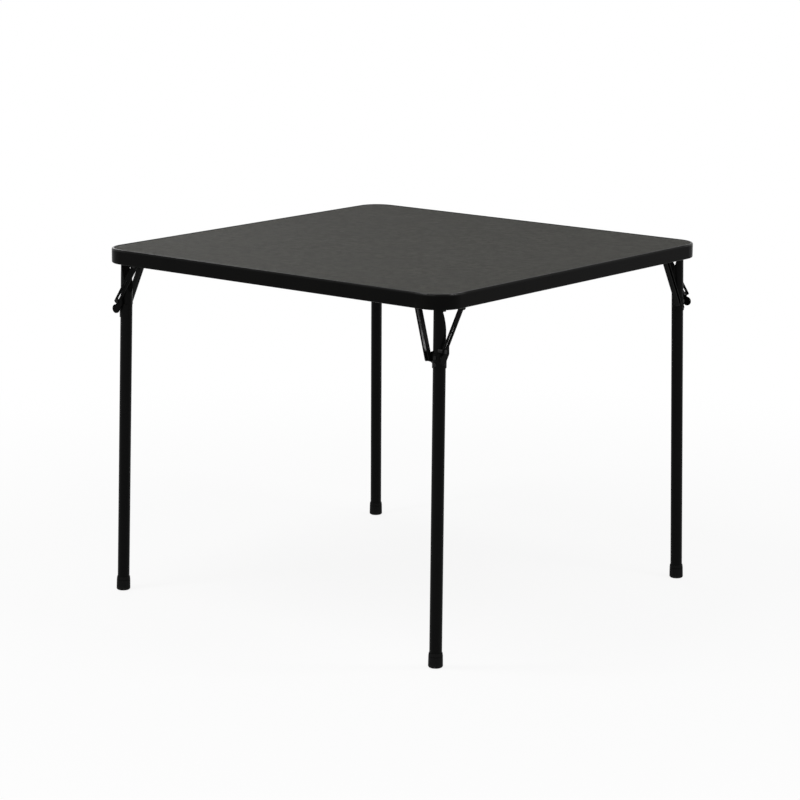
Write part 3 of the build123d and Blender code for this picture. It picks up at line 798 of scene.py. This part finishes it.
def bake(name, points, edges, faces, repeat, values, body):
    """Runs a tree on a small mesh, keeps the result as a plain mesh, and rides it on a body."""
    mesh = bpy.data.meshes.new(name)
    mesh.from_pydata(points, edges, faces)
    piece = bpy.data.objects.new(name, mesh)
    scene.collection.objects.link(piece)
    modifier = piece.modifiers.new(name, "NODES")
    modifier.node_group = repeat.tree
    for label, value in values.items():
        modifier[repeat.identifiers[label]] = value
    bpy.context.view_layer.update()
    result = piece.evaluated_get(bpy.context.evaluated_depsgraph_get())
    baked = bpy.data.meshes.new_from_object(result)
    piece.modifiers.remove(modifier)
    piece.data = baked
    baked.polygons.foreach_set("use_smooth", [True] * len(baked.polygons))
    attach(piece, body)
    print(name, "faces", len(baked.polygons), "on", body)
    return piece


print("repeating helpers ready")

# %% [markdown]
# ## Staples
# The hem is held to the board by a row of staples, all round, in the strip of hem that the rim's
# ledge leaves free. The staple itself is bent from round wire in a few lines of mesh code, and
# the tree sets it along a rounded square, each a little crooked, as a hand gun leaves them.

# %% Staples
STAPLE_CROWN = 10 * MM
STAPLE_LEG = 1.6 * MM
STAPLE_WIRE = 0.42 * MM
STAPLE_SPACING = 38 * MM
STAPLE_BEND = STAPLE_WIRE * 1.6
STAPLE_INSET = 20.5 * MM
STAPLE_HALF = COVER_HALF - STAPLE_INSET
STAPLE_CORNER = 24 * MM
STAPLE_SKEW = math.radians(9)
STAPLE_DRIFT = 1.1 * MM
STAPLE_SEED = 7
CORNER_POINTS = 8
WIRE_SIDES = 8
BEND_STEPS = 3


def staple_wire():
    """Points and faces of one staple, its crown along X and its legs up."""
    path = []
    half = STAPLE_CROWN / 2
    turns = [math.pi / 2 * step / BEND_STEPS for step in range(BEND_STEPS + 1)]
    for side in (-1, 1):
        arc = [(side * (half - STAPLE_BEND * (1 - math.sin(turn))),
                STAPLE_BEND * (1 - math.cos(turn)), side * turn) for turn in turns]
        arc.append((side * half, STAPLE_LEG, side * math.pi / 2))
        path = [*reversed(arc)] if side < 0 else path + arc
    points, faces = [], []
    for x, z, lean in path:
        for step in range(WIRE_SIDES):
            angle = 2 * math.pi * step / WIRE_SIDES
            out = STAPLE_WIRE * math.cos(angle)
            points.append((x - out * math.sin(lean), STAPLE_WIRE * math.sin(angle),
                           z + out * math.cos(lean)))
    for ring in range(len(path) - 1):
        for step in range(WIRE_SIDES):
            here = ring * WIRE_SIDES + step
            beside = ring * WIRE_SIDES + (step + 1) % WIRE_SIDES
            faces.append((here, beside, beside + WIRE_SIDES, here + WIRE_SIDES))
    last = (len(path) - 1) * WIRE_SIDES
    faces.append(tuple(reversed(range(WIRE_SIDES))))
    faces.append(tuple(range(last, last + WIRE_SIDES)))
    return points, faces


def staple_tree():
    """Sets the staple along a rounded square, each turned and moved a little by chance."""
    repeat = Repeat("staple_row", {
        "Side": ("Float", 0.8), "Corner": ("Float", 0.02), "Spacing": ("Float", 0.04),
        "Height": ("Float", 0.7), "Skew": ("Float", 0.1), "Drift": ("Float", 0.001),
        "Seed": ("Int", 1), "Material": ("Material", None)})
    side = repeat.input("Side")
    square = repeat.node("GeometryNodeCurvePrimitiveQuadrilateral", None,
                         {"Width": side, "Height": side})
    path = repeat.node("GeometryNodeFilletCurve", {"mode": "POLY"}, {
        "Curve": square, "Count": CORNER_POINTS, "Radius": repeat.input("Corner")})
    places = repeat.node("GeometryNodeResampleCurve", {"mode": "LENGTH"}, {
        "Curve": path, "Length": repeat.input("Spacing")})
    along = repeat.node("FunctionNodeAlignRotationToVector", {"axis": "X"}, {
        "Vector": repeat.node("GeometryNodeInputTangent")})
    skew = repeat.input("Skew")
    chance = repeat.node("FunctionNodeRandomValue", {"data_type": "FLOAT"}, {
        2: 0 - skew, 3: skew, "Seed": repeat.input("Seed")}, output=1)
    twist = repeat.node("FunctionNodeEulerToRotation", None, {
        0: repeat.node("ShaderNodeCombineXYZ", None, {"Z": chance})})
    turned = repeat.node("FunctionNodeRotateRotation", {"rotation_space": "LOCAL"}, {
        "Rotation": along, "Rotate By": twist})
    copies = repeat.node("GeometryNodeInstanceOnPoints", None, {
        "Points": places, "Instance": repeat.given, "Rotation": turned})
    drift = repeat.input("Drift")
    low = repeat.node("ShaderNodeCombineXYZ", None, {"X": 0 - drift, "Y": 0 - drift})
    high = repeat.node("ShaderNodeCombineXYZ", None, {"X": drift, "Y": drift})
    wander = repeat.node("FunctionNodeRandomValue", {"data_type": "FLOAT_VECTOR"}, {
        0: low, 1: high, "Seed": repeat.input("Seed") + 1})
    lift = repeat.node("ShaderNodeCombineXYZ", None, {"Z": repeat.input("Height")})
    shift = repeat.node("ShaderNodeVectorMath", {"operation": "ADD"}, {0: wander, 1: lift})
    moved = repeat.node("GeometryNodeTranslateInstances", None, {
        "Instances": copies, "Translation": shift, "Local Space": False})
    return repeat.finish(moved)


wire_points, wire_faces = staple_wire()
bake("hem_staples", wire_points, [], wire_faces, staple_tree(), {
    "Side": 2 * STAPLE_HALF, "Corner": STAPLE_CORNER, "Spacing": STAPLE_SPACING,
    "Height": cover_low.z - STAPLE_WIRE, "Skew": STAPLE_SKEW, "Drift": STAPLE_DRIFT,
    "Seed": STAPLE_SEED, "Material": zinc.material}, "top")

# %% [markdown]
# ## Welds
# Each hinge bracket is welded to the underside of the ledge at two of its edges, and the rim
# itself is one strip whose ends meet in a butt weld at the back. A weld is a row of overlapping
# ripples, so the tree resamples a line at the ripples' pitch and sets a flattened bead on each
# point, a little uneven in size. The welds lie under the same black coat as the rim.

# %% Weld tree
BEAD_SPREAD = (0.88, 1.12)


def weld_tree():
    """Sets flattened beads along a line, each a little larger or smaller by chance."""
    repeat = Repeat("weld_ripples", {
        "Pitch": ("Float", 0.0015), "Bead": ("Float", 0.002), "Flatness": ("Vector", (1, 1, 1)),
        "Seed": ("Int", 3), "Material": ("Material", None)})
    line = repeat.node("GeometryNodeMeshToCurve", None, {"Mesh": repeat.given})
    places = repeat.node("GeometryNodeResampleCurve", {"mode": "LENGTH"}, {
        "Curve": line, "Length": repeat.input("Pitch")})
    drop = repeat.node("GeometryNodeMeshIcoSphere", None, {
        "Radius": repeat.input("Bead"), "Subdivisions": 3})
    chance = repeat.node("FunctionNodeRandomValue", {"data_type": "FLOAT"}, {
        2: BEAD_SPREAD[0], 3: BEAD_SPREAD[1], "Seed": repeat.input("Seed")}, output=1)
    size = repeat.node("ShaderNodeVectorMath", {"operation": "SCALE"}, {
        0: repeat.input("Flatness"), "Scale": chance})
    copies = repeat.node("GeometryNodeInstanceOnPoints", None, {
        "Points": places, "Instance": drop, "Scale": size})
    return repeat.finish(copies)


ripples = weld_tree()
print("weld tree ready")

# %% Bracket and rim welds
BEAD_RADIUS = 1.5 * MM
RIPPLE_PITCH = 1.3 * MM
WELD_LENGTH = 15 * MM
WELD_FLATNESS = (1.0, 1.0, 0.6)
WELD_SEED = 3
PLATE_WALL = 2.0 * MM
RIM_WALL_GAP = 4 * MM
SEAM_SIDE = 60 * MM
SEAM_BEAD = 1.1 * MM
SEAM_PITCH = 0.7 * MM
SEAM_FLATNESS = (1.3, 1.0, 1.0)
SEAM_SEED = 5
SEAM_PROUD_SHARE = 0.2
SEAM_STEPS = 4
LIP_BEND = 2.4 * MM
FOOT_BEND = 2.0 * MM


def quarter_turn(point, quarter):
    """A point of the front left corner, carried to another corner."""
    return Matrix.Rotation(quarter * math.pi / 2, 3, "Z") @ Vector(point)


plate_low, plate_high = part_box("hinge_bracket_front_left")
weld_height = plate_high.z - PLATE_WALL / 3
end_weld = [(plate_low.x + RIM_WALL_GAP, plate_high.y, weld_height),
            (plate_low.x + RIM_WALL_GAP + WELD_LENGTH, plate_high.y, weld_height)]
strip_weld = [(plate_high.x, plate_low.y + PLATE_WALL, weld_height),
              (plate_high.x, plate_low.y + PLATE_WALL + WELD_LENGTH / 2, weld_height)]
weld_points, weld_edges = [], []
for quarter in range(4):
    for line in (end_weld, strip_weld):
        weld_edges.append((len(weld_points), len(weld_points) + 1))
        weld_points += [quarter_turn(point, quarter) for point in line]
bake("bracket_welds", weld_points, weld_edges, [], ripples, {
    "Pitch": RIPPLE_PITCH, "Bead": BEAD_RADIUS, "Flatness": WELD_FLATNESS,
    "Seed": WELD_SEED, "Material": rim_enamel.material}, "top")

rim_low, rim_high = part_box("rim_frame")
sunk = SEAM_BEAD * (1 - SEAM_PROUD_SHARE)
turns = [math.pi / 2 * step / SEAM_STEPS for step in range(SEAM_STEPS + 1)]
seam_line = [(SEAM_SIDE, rim_high.y - sunk - FOOT_BEND * (1 - math.sin(turn)),
              rim_low.z + sunk + FOOT_BEND * (1 - math.cos(turn))) for turn in turns]
seam_line += [(SEAM_SIDE, rim_high.y - sunk - LIP_BEND * (1 - math.cos(turn)),
               rim_high.z - sunk - LIP_BEND * (1 - math.sin(turn))) for turn in turns]
seam_edges = [(index, index + 1) for index in range(len(seam_line) - 1)]
bake("rim_seam", seam_line, seam_edges, [], ripples, {
    "Pitch": SEAM_PITCH, "Bead": SEAM_BEAD, "Flatness": SEAM_FLATNESS,
    "Seed": SEAM_SEED, "Material": rim_enamel.material}, "top")

# %% [markdown]
# ## Washers
# On each hinge pin a washer sits at either side of the leg, so that the leg doesn't rub its
# bracket. The tree sweeps a small rectangle round a circle, which makes a flat ring, and sets it
# on points of the pin, turned along the pin by a named input.

# %% Washers
WASHER_RADIUS = 5.6 * MM
WASHER_THICKNESS = 1.0 * MM
PIN_RADIUS = 3.0 * MM
LEG_RADIUS = 12.0 * MM
WASHER_GAP = 0.35 * MM
WASHER_SIDES = 40


def washer_tree():
    """Sets a flat ring, turned along an axis, on each point."""
    repeat = Repeat("washers", {
        "Radius": ("Float", 0.005), "Bore": ("Float", 0.003), "Thickness": ("Float", 0.001),
        "Axis": ("Vector", (0, 1, 0)), "Material": ("Material", None)})
    outer = repeat.input("Radius")
    bore = repeat.input("Bore")
    circle = repeat.node("GeometryNodeCurvePrimitiveCircle", None, {
        "Resolution": WASHER_SIDES, "Radius": (outer + bore) / 2})
    section = repeat.node("GeometryNodeCurvePrimitiveQuadrilateral", None, {
        "Width": outer - bore, "Height": repeat.input("Thickness")})
    ring = repeat.node("GeometryNodeCurveToMesh", None, {"Curve": circle, "Profile Curve": section})
    turned = repeat.node("FunctionNodeAlignRotationToVector", {"axis": "Z"}, {
        "Vector": repeat.input("Axis")})
    copies = repeat.node("GeometryNodeInstanceOnPoints", None, {
        "Points": repeat.given, "Instance": ring, "Rotation": turned})
    return repeat.finish(copies)


washers = washer_tree()
pin_low, pin_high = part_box("hinge_pin_front_left")
leg_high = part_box("leg_tube_front_left")[1]
pin_x = (pin_low.x + pin_high.x) / 2
pin_z = (pin_low.z + pin_high.z) / 2
leg_y = leg_high.y - LEG_RADIUS
aside = LEG_RADIUS + WASHER_GAP + WASHER_THICKNESS / 2
for quarter, corner in enumerate(CORNERS):
    places = [quarter_turn((pin_x, leg_y + side * aside, pin_z), quarter) for side in (-1, 1)]
    bake("pin_washers_" + corner, places, [], [], washers, {
        "Radius": WASHER_RADIUS, "Bore": PIN_RADIUS, "Thickness": WASHER_THICKNESS,
        "Axis": quarter_turn((0, 1, 0), quarter), "Material": zinc.material},
        "leg_" + corner)
